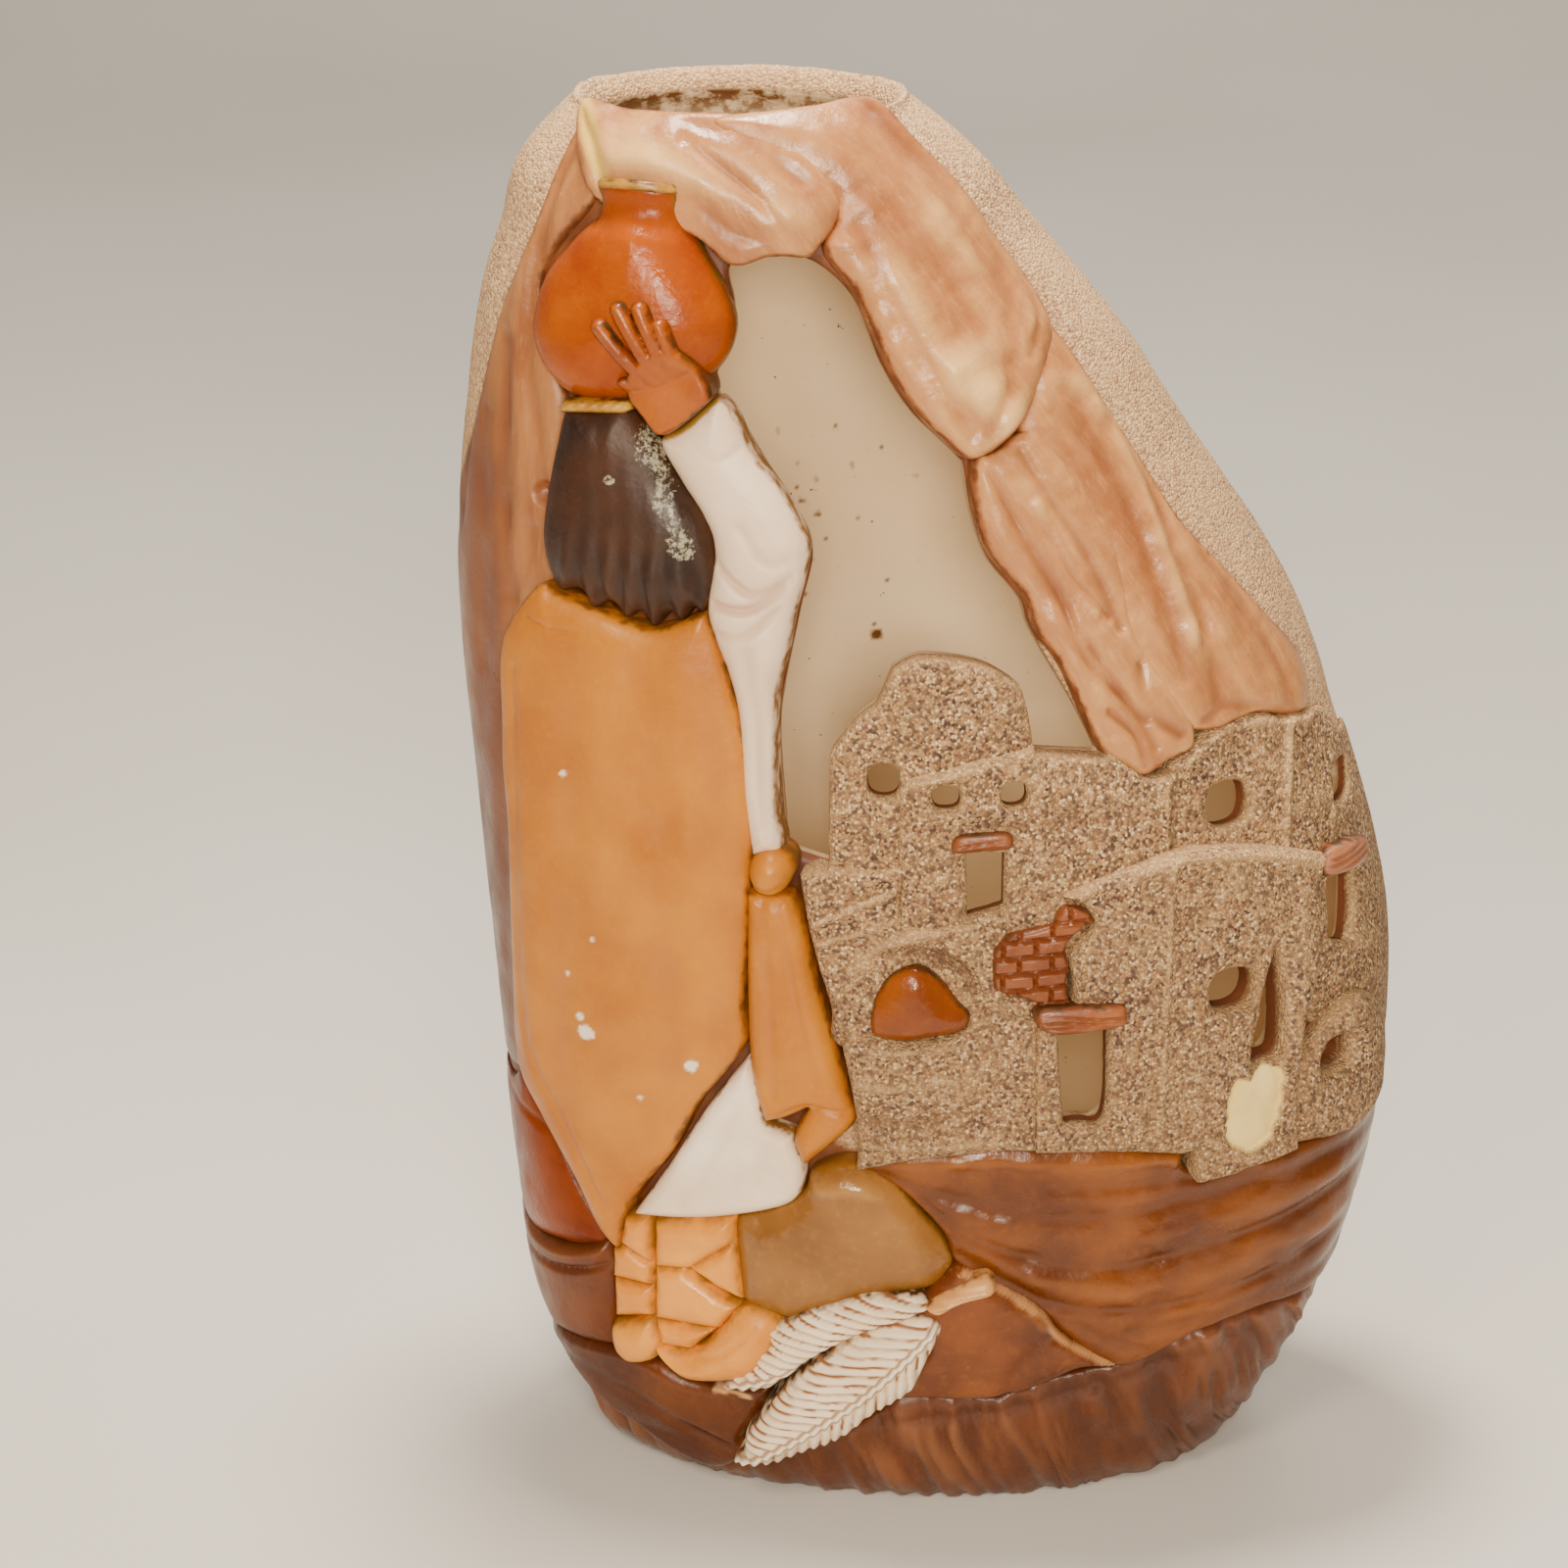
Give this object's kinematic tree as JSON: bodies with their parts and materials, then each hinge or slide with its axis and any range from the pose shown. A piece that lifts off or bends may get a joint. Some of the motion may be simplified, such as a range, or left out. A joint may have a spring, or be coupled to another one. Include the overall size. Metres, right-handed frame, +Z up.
{
  "type": "ceramic relief vase",
  "caption": "Leaning oval ceramic vase with a small oval mouth and a cave opening in front, covered with modelled rock, buildings and a standing figure with a jar.",
  "frame": {"origin": "middle of the bounding box, on the floor under the foot", "axes": "+Z up through the mouth, -Y towards the front with the cave opening, +X to the right as seen from the front"},
  "size_m": [0.2449, 0.1434, 0.363],
  "materials": {
    "sand_shell": "matt sand coat outside, cream glaze inside",
    "sand_wall": "matt coarse sand coat",
    "arch_rock": "satin paint, lighter on the crests",
    "cliff_rock": "satin paint",
    "orange_pot": "satin paint",
    "gold_line": "gold paint",
    "dark_hair": "satin paint, scuffed",
    "white_cloth": "matt paint",
    "tan_cloth": "satin paint",
    "feather_white": "matt paint with brown strokes",
    "stick_tan": "satin paint",
    "boulder_olive": "gloss",
    "niche_orange": "gloss",
    "ledge_brown": "satin paint",
    "base_brown": "satin paint",
    "adobe_red": "satin paint"
  },
  "bodies": {
    "root": {"vase_body": "sand_shell", "tower": "sand_wall", "upper_row": "sand_wall", "right_block": "sand_wall", "front_block": "sand_wall", "lower_block": "sand_wall", "strata": "sand_wall", "far_wall": "sand_wall", "oven_mound": "sand_wall", "arch_rock_top": "arch_rock", "arch_rock_middle": "arch_rock", "arch_rock_inner": "arch_rock", "arch_rock_outer": "arch_rock", "cliff_left": "cliff_rock", "water_jar": "orange_pot", "red_jar": "orange_pot", "hand": "orange_pot", "jar_lip": "gold_line", "head_ring": "gold_line", "hair": "dark_hair", "sleeve": "white_cloth", "skirt": "white_cloth", "shawl": "tan_cloth", "sash_knot": "tan_cloth", "sash_tail": "tan_cloth", "left_legging": "tan_cloth", "right_legging": "tan_cloth", "left_moccasin": "tan_cloth", "right_moccasin": "tan_cloth", "feather_upper": "feather_white", "feather_lower": "feather_white", "feather_stick": "stick_tan", "boulder": "boulder_olive", "niche_boulder": "niche_orange", "canyon_ledge": "ledge_brown", "ground_slab": "ledge_brown", "ground_step": "ledge_brown", "jar_bowl": "ledge_brown", "base_rock": "base_brown", "adobe_bricks": "adobe_red", "lintel_upper": "adobe_red", "lintel_lower": "adobe_red", "lintel_right": "adobe_red"}
  },
  "joints": []
}
